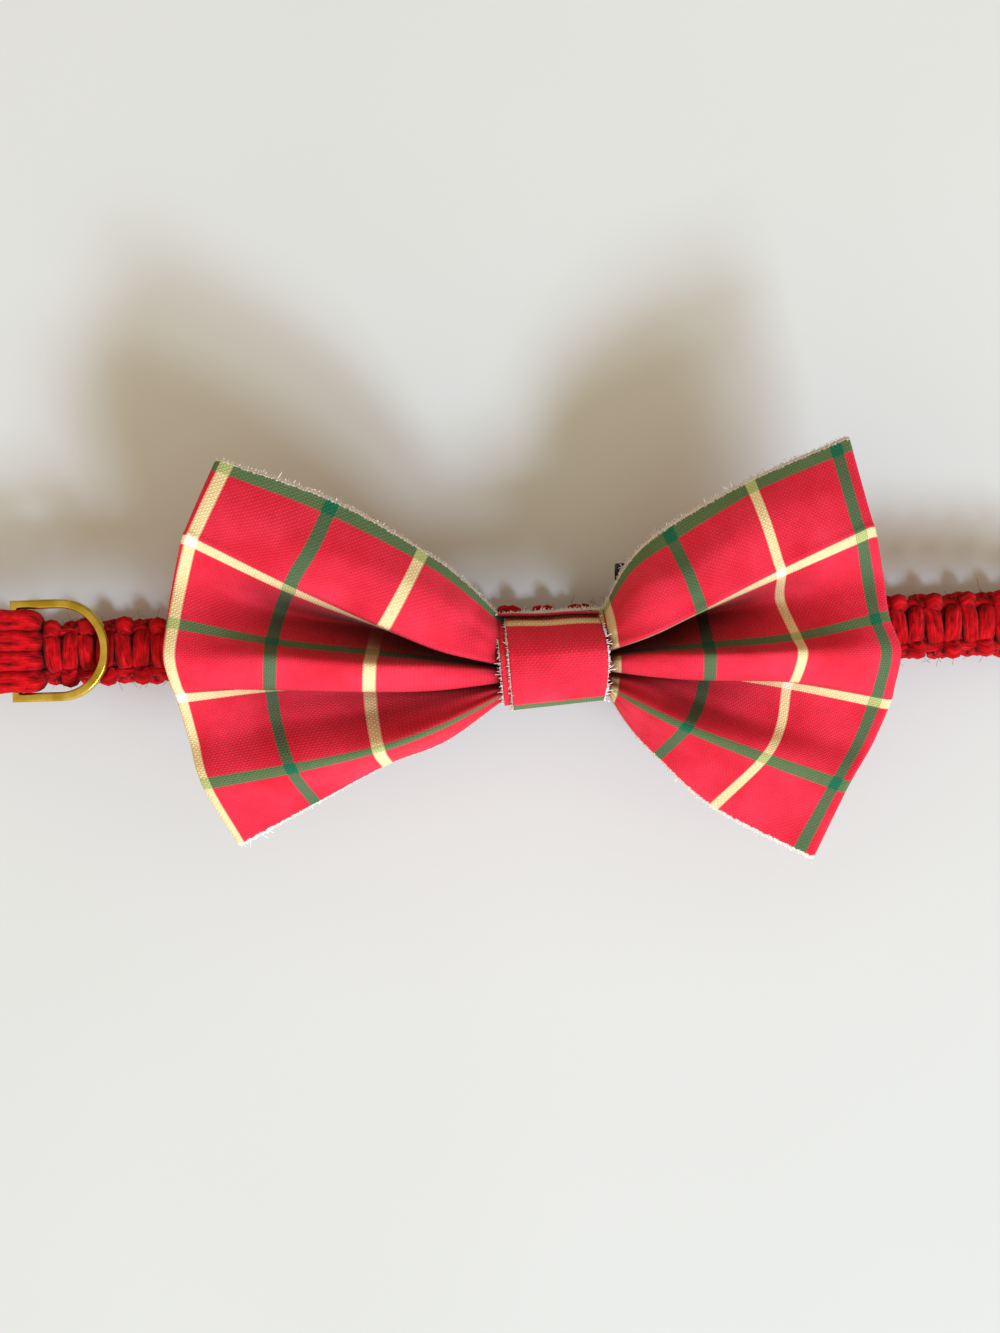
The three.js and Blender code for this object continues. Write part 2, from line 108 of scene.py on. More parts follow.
def grid_mesh(name, grids, material):
    """One mesh from grids of points. Each grid is (points[n, m, 3], uv, closed along n, closed
    across m, capped); its faces join neighbours in both directions, and its uv has one more row
    or column wherever it closes."""
    verts, quads, uvs, caps, cap_uvs, base = [], [], [], [], [], 0
    for points, uv, along, across, capped in grids:
        n, m = points.shape[:2]
        i, j = np.meshgrid(np.arange(n if along else n - 1), np.arange(m if across else m - 1),
                           indexing="ij")
        i2, j2 = (i + 1) % n, (j + 1) % m
        corner = [i * m + j, i2 * m + j, i2 * m + j2, i * m + j2]
        quads.append(np.stack(corner, -1).reshape(-1, 4) + base)
        uvs.append(np.stack([uv[i, j], uv[i + 1, j], uv[i + 1, j + 1], uv[i, j + 1]], 2).reshape(-1, 2))
        verts.append(points.reshape(-1, 3))
        if capped:
            caps += [base + np.arange(m), base + (n - 1) * m + np.arange(m)[::-1]]
            cap_uvs += [uv[0, :m], uv[-1, :m][::-1]]
        base += n * m
    quads = np.concatenate(quads)
    flat = np.concatenate([quads.ravel(), *caps]) if caps else quads.ravel()
    sizes = np.concatenate([np.full(len(quads), 4), [len(c) for c in caps]]).astype(int)
    uv_flat = np.concatenate(uvs + cap_uvs)
    mesh = bpy.data.meshes.new(name)
    mesh.vertices.add(base)
    mesh.vertices.foreach_set("co", ((np.concatenate(verts) + PLACE) * MM).ravel())
    mesh.loops.add(len(flat))
    mesh.loops.foreach_set("vertex_index", flat.astype(np.int32))
    mesh.polygons.add(len(sizes))
    starts = np.concatenate([[0], np.cumsum(sizes)[:-1]])
    mesh.polygons.foreach_set("loop_start", starts.astype(np.int32))
    mesh.uv_layers.new(name="surface").data.foreach_set("uv", uv_flat.ravel())
    mesh.update(calc_edges=True)
    mesh.validate()
    mesh.polygons.foreach_set("use_smooth", np.full(len(mesh.polygons), True))
    mesh.materials.append(material)
    piece = bpy.data.objects.new(name, mesh)
    bpy.context.collection.objects.link(piece)
    return piece


def unit(vectors):
    """Each vector divided by its own length."""
    return vectors / np.maximum(np.linalg.norm(vectors, axis=-1, keepdims=True), 1e-9)


def path_length(points):
    """Millimetres along a line of points, from its start to each of them."""
    return np.concatenate([[0], np.cumsum(np.linalg.norm(np.diff(points, axis=0), axis=1))])


def sweep(centre, thin_way, wide, thin, sides):
    """A cord along points[n, 3]: at each point an ellipse square to the path, `thin` along the
    given way and `wide` across it. u goes once round the cord, v is its length in millimetres."""
    run = unit(np.gradient(centre, axis=0))
    thin_axis = unit(thin_way - run * (thin_way * run).sum(-1, keepdims=True))
    wide_axis = np.cross(run, thin_axis)
    turn = 2 * np.pi * np.arange(sides) / sides
    wide, thin = (np.broadcast_to(r, len(centre))[:, None, None] for r in (wide, thin))
    points = (centre[:, None] + wide * np.cos(turn)[:, None] * wide_axis[:, None]
              + thin * np.sin(turn)[:, None] * thin_axis[:, None])
    round_it = np.arange(sides + 1) / sides
    uv = np.stack(np.meshgrid(path_length(centre), round_it, indexing="ij")[::-1], -1)
    return points, uv, False, True, True


def belt_table():
    """The belt's middle line, run by run: (length, x, z, heading) at closely spaced points. The
    heading starts at 0 along the floor, grows through each half round and ends at a full turn."""
    top_heading = math.pi - TOP_SLOPE
    xs, zs, headings = [CLASP_X + CLASP_REACH], [RUN_Z], [0.0]
    bends = ((RIGHT_BEND, 0, top_heading), (LEFT_BEND, top_heading, 2 * math.pi))
    for (x, radius), start, end in bends:
        angle = np.linspace(start, end, BEND_STEPS)
        xs += list(x + radius * np.sin(angle))
        zs += list(RUN_Z + radius - radius * np.cos(angle))
        headings += list(angle)
    xs.append(CLASP_X - CLASP_REACH)
    zs.append(RUN_Z)
    headings.append(2 * math.pi)
    xs, zs = np.array(xs), np.array(zs)
    return path_length(np.stack([xs, zs], -1)), xs, zs, np.array(headings)


BELT = belt_table()
BELT_LENGTH = BELT[0][-1]


def on_belt(along, across, outward):
    """Points of the strap: at each length along the belt, moved across it and out from its middle
    line. Returns the points and the outward way there."""
    x, z, heading = (np.interp(along, BELT[0], column) for column in BELT[1:])
    out = np.stack([np.sin(heading), np.zeros_like(heading), -np.cos(heading)], -1)
    middle = np.stack([x, np.zeros_like(x), z], -1)
    side = np.zeros_like(middle)
    side[:, 1] = 1
    return middle + side * np.asarray(across)[:, None] + out * np.asarray(outward)[:, None], out


def top_run_z(x):
    """Height of the strap's middle line on its straight top run, between the two bends."""
    ends = slice(BEND_STEPS, BEND_STEPS + 2)
    return np.interp(x, BELT[1][ends][::-1], BELT[2][ends][::-1])


def near_ring_bar(along):
    """1 where the strap passes the D-ring's bar on the top run, falling to 0 either side as
    exp(-(distance / span)^4)."""
    x, z = np.interp(along, BELT[0], BELT[1]), np.interp(along, BELT[0], BELT[2])
    return np.exp(-((x - RING_BAR_X) / RING_SPAN) ** 4) * (z > 2 * RUN_Z)


def wander(length, spacing, seed):
    """Smooth noise from -1 to 1: one random value every `spacing`, joined by cosine steps."""
    values = np.random.default_rng(seed).uniform(-1, 1, int(length.max() / spacing) + 3)
    cell = np.floor(length / spacing).astype(int)
    share = 0.5 - 0.5 * np.cos(np.pi * (length / spacing - cell))
    return values[cell] * (1 - share) + values[cell + 1] * share


def knot_cord(front, seed):
    """One working cord, with t growing by 1 in each knot and s = 2 pi t. The cord that shows in
    front runs at -4.25 |cos s|^0.8 across the strap, sign kept, and at 0.15 - 1.35 cos 2s out of
    it. The other runs at 4.5 |sin s|^0.8 and -0.1 - 1.4 cos 2s, so it crosses behind and bulges
    at the edges. Both linger where they cross, draw in towards the strap's ends, duck under the
    ring's bar, and wander by the few tenths of a millimetre of knots pulled by hand."""
    knots = int(BELT_LENGTH / KNOT_PITCH)
    t = np.linspace(0, knots, knots * 20 + 1)
    turn = 2 * np.pi * t
    linger = 0.55 / (4 * np.pi)
    lift = np.cos(2 * turn)
    if front:
        along = t + linger * np.sin(2 * turn)
        across = -4.25 * np.sign(np.cos(turn)) * np.abs(np.cos(turn)) ** 0.8
        outward = 0.15 - 1.35 * lift
    else:
        along = t - linger * np.sin(2 * turn)
        across = 4.5 * np.sign(np.sin(turn)) * np.abs(np.sin(turn)) ** 0.8
        outward = -0.1 - 1.4 * lift
    along = along * BELT_LENGTH / knots
    along = np.clip(along + 0.30 * wander(t, 0.5, seed), 0, BELT_LENGTH)
    to_end = np.minimum(along, BELT_LENGTH - along)
    squeeze = 0.72 + 0.28 * np.clip(to_end / 8, 0, 1)
    ring = near_ring_bar(along)
    across = across * squeeze * (1 + 0.05 * wander(t, 0.6, seed + 1)) + 0.22 * wander(t, 1.3, seed + 2)
    outward = outward * (1 + 0.08 * wander(t, 0.7, seed + 3)) * (1 - 0.55 * ring) - RING_PRESS * ring
    centre, out = on_belt(along, across, outward)
    # The flat of the cord turns with the strap's own flattened oval.
    away = out * (outward / (STRAP_THICK / 2) ** 2)[:, None]
    away[:, 1] += across / STRAP_WIDTH ** 2 * 1.6
    wide = 1.52 * (1 + 0.07 * wander(t, 0.4, seed + 4)) * squeeze
    thin = 0.86 * (1 + 0.06 * wander(t, 0.8, seed + 5)) * (1 - 0.25 * ring)
    return sweep(centre, away, wide, thin, 14)


def filler_cord(across, wide):
    """A straight filler from end to end, flattened between the crossings in front and behind."""
    along = np.linspace(0, BELT_LENGTH, 400)
    centre, out = on_belt(along, np.full(400, across), -RING_PRESS * near_ring_bar(along))
    return sweep(centre, out, wide, 0.8, 10)


def end_loop(side):
    """Three cord ends side by side, looped round a clasp bar: each a narrow band on 300 degrees of
    a circle 1.75 mm in radius, open towards the strap."""
    angle = np.radians(np.linspace(-150, 150, 40))
    bar = np.array([CLASP_X + side * CLASP_REACH, 0, RUN_Z])
    out = np.stack([-side * np.cos(angle), np.zeros(40), np.sin(angle)], -1)
    return [sweep(bar + np.array([0, y, 0]) + 1.75 * out, out, 1.4, 0.42, 10) for y in (-2.9, 0.0, 2.9)]


def over_bar_cord(y, seed):
    """One of four thick cords side by side over the ring's bar: a hoop that comes up out of the
    last knot, passes over the bar and dives into the next. With turn from -1 to 1 it rises by
    4.5 cos(pi / 2 turn)^0.62, nearly level over the bar and steep at both ends."""
    turn = np.linspace(-1, 1, 60)
    half = RING_SPAN + 0.2 * wander(np.array([1.3]), 1, seed)[0]
    x = RING_BAR_X - 0.4 + half * np.sin(turn * np.pi / 2 * 1.04)
    rise = 4.5 * np.abs(np.cos(turn * np.pi / 2)) ** 0.62
    base = top_run_z(x)
    z = base - 1.55 + rise + 0.12 * wander(turn + 2, 0.4, seed)
    spread = y * (1 - 0.16 * np.abs(turn) ** 3) + 0.15 * wander(turn + 2, 0.5, seed + 7)
    centre = np.stack([x, 0.4 + spread, z], -1)
    away = centre - np.array([RING_BAR_X, 0, base.mean() - 3])
    away[:, 1] = 0
    return sweep(centre, away, 1.95 * (1 + 0.05 * wander(turn + 2, 0.3, seed)), 1.15, 16)


def cotton_cord(name):
    """Single-strand cotton cord, dyed red: soft combed fibres that run nearly along the cord."""
    material, tree = new_material(name)
    uv = node(tree, "UVMap", uv_map="surface")
    # Fibres of about 0.25 mm across a cord 9 mm round, drawn out to 5 mm along it, and their
    # bundles three times as wide.
    fine = node(tree, "Mapping", [("Vector", uv, "UV")], Scale=(34, 0.22, 1))
    broad = node(tree, "Mapping", [("Vector", uv, "UV")], Scale=(11, 0.5, 1))
    fibre = node(tree, "TexNoise", [("Vector", fine, "Vector")], Scale=1.0, Detail=6.0, Roughness=0.65)
    bundle = node(tree, "TexNoise", [("Vector", broad, "Vector")], Scale=1.0, Detail=3.0)
    both = node(tree, "Math", [(0, fibre, "Fac"), (1, bundle, "Fac")], operation="ADD")
    streak = node(tree, "Math", [(0, both, "Value")], operation="MULTIPLY")
    streak.inputs[1].default_value = 0.5
    dye = node(tree, "ValToRGB", [("Fac", streak, "Value")],
               [(0.34, "#4a0004"), (0.46, "#a80208"), (0.56, "#d60412"), (0.70, "#f2303c")])
    # Paler and darker lengths of a few millimetres, as the dye took unevenly.
    place = node(tree, "TexCoord")
    patch = node(tree, "TexNoise", [("Vector", place, "Object")], Scale=90.0, Detail=2.0)
    toned = node(tree, "MixRGB", [("Color1", dye, "Color"), ("Fac", patch, "Fac")],
                 blend_type="MULTIPLY", Color2=linear("#e8c0c4"))
    # Painted shade: deep between the cords, ambient occlusion darkens the colour towards a darker red,
    # where little light would reach.
    painted_shade_occlusion = node(tree, "AmbientOcclusion", samples=8, Distance=0.003)
    shade = node(tree, "MapRange", [("Value", painted_shade_occlusion, "AO")], From_Min=0.2, From_Max=0.9, To_Min=0.12,
                 To_Max=1.0)
    deep = node(tree, "VectorMath", [(0, toned, "Color"), ("Scale", shade, "Result")], operation="SCALE")
    bump = node(tree, "Bump", [("Height", streak, "Value")], Strength=0.9, Distance=0.0006)
    skin = node(tree, "BsdfPrincipled", [("Base Color", deep, "Vector"), ("Normal", bump, "Normal")],
                Roughness=0.88, Sheen_Weight=0.12, Sheen_Roughness=0.5, Sheen_Tint=linear("#ff8a94"),
                Specular_IOR_Level=0.12)
    node(tree, "OutputMaterial", [("Surface", skin, "BSDF")])
    return material


cord_cotton = cotton_cord("combed_cotton_cord_dyed_red")
strap_grids = [knot_cord(True, 11), knot_cord(False, 23)]
strap_grids += [filler_cord(-1.5, 1.45), filler_cord(1.5, 1.45)]
strap_grids += [filler_cord(-3.525, 1.1), filler_cord(3.525, 1.1)]
strap_grids += end_loop(-1) + end_loop(1)
strap_grids += [over_bar_cord(y, 40 + k) for k, y in enumerate((-5.35, -1.8, 1.8, 5.35))]
strap = grid_mesh("knotted_strap", strap_grids, cord_cotton)
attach(strap, "root")
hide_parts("strap")


def loose_fibres(count, seed):
    """Stray cotton fibres: short arcs that leave the strap's surface and curl back, each a thin
    three-sided strand whose way out, length and curl are drawn at random."""
    rng = np.random.default_rng(seed)
    grids = []
    steps = np.linspace(0, 1, 7)[:, None]
    for _ in range(count):
        turn = rng.uniform(0, 2 * np.pi)
        along = np.array([rng.uniform(8, BELT_LENGTH - 8)])
        across, outward = 5.3 * np.cos(turn), 2.0 * np.sin(turn)
        root_point, out = on_belt(along, np.array([across]), np.array([outward]))
        way = out[0] * np.sin(turn) + np.array([0, np.cos(turn), 0]) + rng.normal(0, 0.5, 3)
        way /= np.linalg.norm(way)
        curl = rng.normal(0, 1, 3)
        reach = rng.uniform(0.5, 1.9)
        path = root_point + reach * (steps * way + 0.55 * steps ** 2 * curl)
        path[:, 2] = np.maximum(path[:, 2], 0.05)
        grids.append(sweep(path, np.broadcast_to([0.3, 0.2, 0.9], (7, 3)), 0.035, 0.035, 3))
    return grids


strap_fuzz = grid_mesh("strap_loose_fibres", loose_fibres(900, 5), cord_cotton)
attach(strap_fuzz, "root")


# ---- Clasp ------------------------------------------------------------------------------------
# The closure underneath: a plain moulded plastic plate with an end bar at each side. Its solid
# stays as it is and only gets its finish.

def moulded_plastic():
    """Matt moulded plastic: a faint grain of about 0.3 mm from the mould."""
    material, tree = new_material("moulded_polypropylene_dark_red")
    place = node(tree, "TexCoord")
    grain = node(tree, "TexNoise", [("Vector", place, "Object")], Scale=3300.0, Detail=2.0)
    ramp = node(tree, "ValToRGB", [("Fac", grain, "Fac")], [(0, "#2a080d"), (1, "#3a0f15")])
    bump = node(tree, "Bump", [("Height", grain, "Fac")], Strength=0.3, Distance=0.00005)
    skin = node(tree, "BsdfPrincipled", [("Base Color", ramp, "Color"), ("Normal", bump, "Normal")],
                Roughness=0.5)
    node(tree, "OutputMaterial", [("Surface", skin, "BSDF")])
    return material


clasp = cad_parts["clasp"]
clasp.data.materials.clear()
clasp.data.materials.append(moulded_plastic())


# ---- D-ring -----------------------------------------------------------------------------------
# Gilt steel wire, drawn flat with bevelled edges and bent to a D, its bar under the knotted cords
# and its arc lying on them. The polish is bright, with the fine scratches of handling.

RING_LENGTH = 17.8
RING_HEIGHT = 17.8
RING_WIRE = 1.6
RING_BEVEL = 0.42                 # radius of the wire's long edges
RING_LIFT = 2.7                   # how much higher the arc lies than the bar
RING_Y = 0.4


def d_ring_points():
    """The D's outline carried round by its cross-section. Along: corner, leg, half round, leg,
    corner, bar, with the section mitred at both corners. Across: a square with rounded edges."""
    half = RING_HEIGHT / 2 - RING_WIRE / 2
    arc_x = RING_LENGTH - RING_WIRE - half
    angle = np.linspace(-np.pi / 2, np.pi / 2, 97)
    legs = np.linspace(0, arc_x, 6)[1:-1]
    arc = np.stack([arc_x + half * np.cos(angle), half * np.sin(angle)], -1)
    lower = np.stack([legs, np.full(4, -half)], -1)
    upper = np.stack([legs[::-1], np.full(4, half)], -1)
    line = np.concatenate([[[0, -half]], lower, arc, upper, [[0, half]]])
    round_out = np.stack([np.cos(angle), np.sin(angle)], -1)
    down, up = np.tile([0, -1], (4, 1)), np.tile([0, 1], (4, 1))
    out = np.concatenate([[[-1, -1]], down, round_out, up, [[-1, 1]]])
    edge, flat = RING_WIRE / 2, RING_WIRE / 2 - RING_BEVEL
    corner = np.radians(np.linspace(0, 90, 6))
    quarter = flat + RING_BEVEL * np.stack([np.cos(corner), np.sin(corner)], -1)
    section = np.concatenate([quarter, quarter[::-1] * [-1, 1], -quarter, quarter[::-1] * [1, -1]])
    section[:, 1] = np.where(np.abs(section[:, 1]) > edge, np.sign(section[:, 1]) * edge, section[:, 1])
    plane = line[:, None] + out[:, None] * section[:, :1]
    points = np.concatenate([plane, np.broadcast_to(section[:, 1:], (*plane.shape[:2], 1))], -1)
    tilt = math.asin(RING_LIFT / (RING_LENGTH - RING_WIRE))
    turned = points @ np.array([[math.cos(tilt), 0, math.sin(tilt)], [0, 1, 0],
                                [-math.sin(tilt), 0, math.cos(tilt)]])
    return turned + np.array([RING_BAR_X, RING_Y, top_run_z(RING_BAR_X) + RING_BAR_RISE])


def gilt_wire():
    """Gilt steel: warm yellow metal, bright, with scratches a few hundredths of a millimetre wide
    that run round the ring, and a slightly duller tone where it is handled."""
    material, tree = new_material("polished_gilt_steel_wire")
    place = node(tree, "TexCoord")
    stretched = node(tree, "Mapping", [("Vector", place, "Object")], Scale=(900, 5200, 2600))
    scratch = node(tree, "TexNoise", [("Vector", stretched, "Vector")], Scale=1.0, Detail=5.0,
                   Roughness=0.7)
    handled = node(tree, "TexNoise", [("Vector", place, "Object")], Scale=260.0, Detail=3.0)
    tone = node(tree, "ValToRGB", [("Fac", handled, "Fac")], [(0.35, "#b3932c"), (0.7, "#d9bd5a")])
    rough = node(tree, "MapRange", [("Value", scratch, "Fac")], From_Min=0.3, From_Max=0.7, To_Min=0.10,
                 To_Max=0.24)
    bump = node(tree, "Bump", [("Height", scratch, "Fac")], Strength=0.12, Distance=0.00004)
    skin = node(tree, "BsdfPrincipled", [("Base Color", tone, "Color"), ("Roughness", rough, "Result"),
                                         ("Normal", bump, "Normal")], Metallic=1.0)
    node(tree, "OutputMaterial", [("Surface", skin, "BSDF")])
    return material


ring_points = d_ring_points()
# The metal's pattern doesn't follow its surface, so its uv stays empty.
ring_uv = np.zeros((ring_points.shape[0] + 1, ring_points.shape[1] + 1, 2))
d_ring = grid_mesh("gilt_d_ring", [(ring_points, ring_uv, True, True, False)], gilt_wire())
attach(d_ring, "root")
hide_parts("d_ring")


# ---- Elastic keepers --------------------------------------------------------------------------
# Two loops of flat black elastic, sewn to the back of the bow, that hold it on the strap. Their
# solids stay and get the fine cross ribs of braided elastic.

def braided_elastic():
    """Braided flat elastic: ribs 0.5 mm apart across the band, matt, nearly black."""
    material, tree = new_material("braided_flat_elastic_black")
    place = node(tree, "TexCoord")
    ribs = node(tree, "TexWave", [("Vector", place, "Object")], Scale=2000.0 / 6.283, Distortion=0.6,
                Detail=2.0)
    ramp = node(tree, "ValToRGB", [("Fac", ribs, "Fac")], [(0, "#0b0a0d"), (1, "#26242a")])
    bump = node(tree, "Bump", [("Height", ribs, "Fac")], Strength=0.8, Distance=0.0001)
    skin = node(tree, "BsdfPrincipled", [("Base Color", ramp, "Color"), ("Normal", bump, "Normal")],
                Roughness=0.8)
    node(tree, "OutputMaterial", [("Surface", skin, "BSDF")])
    return material


elastic = braided_elastic()
for keeper_name in ("keeper_left", "keeper_right"):
    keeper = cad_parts[keeper_name]
    keeper.data.materials.clear()
    keeper.data.materials.append(elastic)


# ---- Bow --------------------------------------------------------------------------------------
# One sleeve of thin plaid cotton, 84 mm deep, pressed flat with a fold at each tip and gathered in
# the middle, so that each wing has a broad top lobe, a sharp middle ridge and a lower lobe. The
# top and bottom edges are left raw and fray white. Laid flat, the loop is taken to be 246 mm
# round: 123 mm to a layer is what brings the stripes of both wings into one count.

BOW_Z = 23.65                     # height of the bow's middle over the floor
CLOTH = 0.42                      # thickness of the cotton
CLOTH_DEPTH = 83.5                # from the top edge to the bottom one, laid flat
FOLD_TURN = 0.75                  # radius of the folds at the tips

# Each wing's fold lines are the top edge, top lobe, top lip, under the lip, upper valley, ridge
# top, ridge, ridge lip, under the ridge, lower lobe, lower crest and bottom edge; DOWN has each
# one's distance down the flat cloth. A place is (x, y, height over BOW_Z), at the tip, at two
# upright stripes, at the neck and at the edge of the wrap.
DOWN = (0, 8, 15.5, 18.5, 27, 35.5, 43, 49, 52.5, 61, 69.5, CLOTH_DEPTH)
LEFT_WING = {
    "tip": [(-55.2, 31.2, 11.5), (-57.7, 25.2, 14), (-60, 19.8, 15.2), (-60.8, 17.8, 15.5),
            (-62.8, 11.3, 12.5), (-63.9, 4, 14.5), (-64.4, -1.5, 16), (-63.6, -5.9, 14.5),
            (-62.9, -8.4, 12.5), (-61.2, -15.5, 11), (-59, -22.8, 13.5), (-53.6, -33.4, 10)],
    "outer": [(-36.7, 24.1, 9), (-40, 16.4, 13), (-43.2, 11.4, 13.4), (-44.4, 9.2, 12),
              (-46.6, 5.6, 6.5), (-47.6, 0.3, 11.5), (-47.6, -2.6, 15.3), (-48.2, -7.2, 12),
              (-48.4, -7.3, 8), (-47.7, -13, 7.5), (-45.1, -20.9, 11), (-41.6, -27.2, 5)],
    "inner": [(-22, 15.2, 6.5), (-24.7, 9.4, 11.6), (-28.3, 3.3, 11.6), (-29.3, 2.4, 9.2),
              (-30.3, 2.4, 3), (-31.1, -2, 8.5), (-31.4, -4.4, 12.8), (-31.8, -8.2, 9.6),
              (-32, -7, 5), (-31.8, -11.9, 4.5), (-30.6, -18.2, 8.5), (-29.5, -21, 2)],
    "neck": [(-15.5, 10.2, 3), (-17.6, 5.2, 8.8), (-19.3, -1, 9), (-19.8, -1.7, 6.6),
             (-20.2, -0.8, 0.8), (-20.5, -3.5, 6), (-20.6, -5.2, 9.2), (-20.8, -8.4, 6.6),
             (-20.9, -7.2, 2.8), (-20.6, -10.8, 3.4), (-20, -14.8, 6), (-19.5, -17.4, 1)],
    "pinch": [(-9.6, 4, -1.6), (-9.6, 0, 1.8), (-9.7, -3.8, 2.8), (-9.7, -4.5, 1.2),
              (-9.7, -4.2, -1), (-9.8, -5.1, 0.8), (-9.8, -6.1, 2.8), (-9.8, -7.5, 1.7),
              (-9.9, -7.2, -0.6), (-9.9, -8.8, 1.6), (-9.9, -10, 2.2), (-9.9, -11, 0.4)],
}
RIGHT_WING = {
    "tip": [(49.9, 32, 7), (51.2, 24.4, 9.8), (52.6, 17.9, 11), (53.2, 15.7, 11.2),
            (54.7, 8.2, 8.5), (55.2, 1.4, 10), (56.7, -4.3, 11.5), (55.8, -10.3, 9.5),
            (55.2, -13.2, 8), (52, -20.1, 7.5), (47.6, -26.8, 9), (41.8, -39, 5.5)],
    "outer": [(33.4, 25.2, 8), (35.3, 18.4, 11.8), (37.2, 11.7, 12.2), (37.9, 9.3, 11.4),
              (38.3, 4.8, 6), (40.3, -1.6, 10), (40.8, -4.4, 13.4), (39.8, -8.6, 10.4),
              (38.9, -9.4, 7.5), (37.6, -16.3, 7), (34.3, -21.6, 9.5), (25.9, -30.1, 4)],
    "inner": [(19.3, 17.9, 6), (22.3, 10, 11), (24.1, 4.8, 11.2), (24.5, 3.4, 10),
              (25.2, 3, 3), (25.6, -2.6, 8.8), (25.5, -4.4, 12.8), (25.5, -8.1, 9.6),
              (25.4, -7.1, 5), (24.2, -12.1, 4.5), (21.5, -16.2, 8), (16.8, -21.2, 2.5)],
    "neck": [(12.9, 12.2, 3), (14.9, 7.2, 8.8), (16.2, 1.2, 9.2), (16.5, -0.2, 8),
             (17.2, 0, 0.8), (17.1, -2.9, 6), (17, -4.2, 9.2), (17, -7.3, 6.6),
             (17, -6.6, 3), (15.9, -9, 3.6), (14.3, -12.3, 5.5), (12.4, -16, 1)],
    "pinch": [(8.7, 4.6, -2), (9, 1.2, 1.2), (9.1, -1.8, 2.8), (9.1, -2.7, 1.8),
              (9.2, -2.2, -1), (9.3, -3.4, 0.8), (9.3, -4.4, 2.8), (9.3, -6.1, 1.7),
              (9.4, -5.8, -0.6), (9.3, -7.4, 1.6), (9.3, -9.2, 2.2), (9.2, -10.4, 0.4)],
}
# Length of cloth from the outer fold to each column, and the back layer's height there.
LEFT_ALONG = {"tip": 0, "outer": 18.5, "inner": 35.5, "neck": 43.2, "pinch": 50.8}
RIGHT_ALONG = {"tip": 0, "outer": 19.6, "inner": 36.6, "neck": 46.0, "pinch": 54.8}
BACK_HEIGHT = {"outer": 2, "inner": -0.8, "neck": -1.9, "pinch": -2.2}
COLUMNS = ("tip", "outer", "inner", "neck", "pinch")
COLUMN_STEPS = 14                 # mesh columns from one of these to the next
LINE_STEPS = 12                   # mesh rows from one fold line to the next
BUNDLE_STEPS = 11                 # mesh columns under the wrap
TURN_STEPS = 7                    # mesh columns round the fold at each tip
STRIPE_PITCH = 17.0               # a green stripe's middle to the next cream one's
GREEN_WIDE, CREAM_WIDE = 2.3, 1.9
CUT_CREAM_WIDE = 1.1              # what the cut at the wrap's end leaves of a cream stripe
FIRST_STRIPE = 1.5                # the first stripe's middle, from an edge or a fold
THREAD = 0.42                     # middle of one thread to the next
RIGHT_SHIFT = 15.9                # brings the right wing's stripes to the same count as the left's


def resample(table, steps):
    """Values[k, ...] at `steps` places in each gap, on curves through every one of them: between
    two values, a cubic whose slope at each is half the step between its neighbours, and at either
    end of the table the step itself."""
    table = np.asarray(table, float)
    first = np.diff(table, axis=0)
    slope = np.empty_like(table)
    slope[1:-1] = (first[1:] + first[:-1]) / 2
    slope[0], slope[-1] = first[0], first[-1]
    place = np.linspace(0, len(table) - 1, (len(table) - 1) * steps + 1)
    cell = np.minimum(place.astype(int), len(table) - 2)
    t = (place - cell).reshape(-1, *[1] * (table.ndim - 1))
    a, b, m, n = table[cell], table[cell + 1], slope[cell], slope[cell + 1]
    return ((2 * t ** 3 - 3 * t ** 2 + 1) * a + (t ** 3 - 2 * t ** 2 + t) * m
            + (3 * t ** 2 - 2 * t ** 3) * b + (t ** 3 - t ** 2) * n)


def ripples(along, down):
    """Fine wrinkles of pressed cotton, at most a few tenths of a millimetre: waves whose crests
    fan out from the pinch, with a little unevenness of two longer waves across them."""
    near = np.exp(-((along - 52) / 22) ** 2)
    fan = np.sin(down * 0.62 + 0.05 * along) + 0.6 * np.sin(down * 1.13 + 0.11 * along + 1.7)
    broad = np.sin(down * 0.21 + along * 0.13 + 0.6) * np.sin(along * 0.17 + 0.9)
    return 0.16 * near * fan + 0.30 * broad * (1 - np.exp(-along / 7))


def front_layer():
    """The front from the left tip to the right tip: points[column, row] and the cloth's lengths
    along and down. Each wing has its own curves, and a straight bundle joins them under the wrap."""
    left = resample([LEFT_WING[name] for name in COLUMNS], COLUMN_STEPS)
    right = resample([RIGHT_WING[name] for name in COLUMNS[::-1]], COLUMN_STEPS)
    share = np.linspace(0, 1, BUNDLE_STEPS + 2)[1:-1]
    bundle = left[-1] + (right[0] - left[-1]) * share[:, None, None]
    points = np.concatenate([left, bundle, right])
    left_along = resample([LEFT_ALONG[name] for name in COLUMNS], COLUMN_STEPS)
    right_along = resample([RIGHT_ALONG[name] for name in COLUMNS[::-1]], COLUMN_STEPS) + RIGHT_SHIFT
    between = left_along[-1] + (right_along[0] - left_along[-1]) * share
    along = np.concatenate([left_along, between, right_along])
    points = np.swapaxes(resample(np.swapaxes(points, 0, 1), LINE_STEPS), 0, 1)
    return points, along, resample(DOWN, LINE_STEPS)


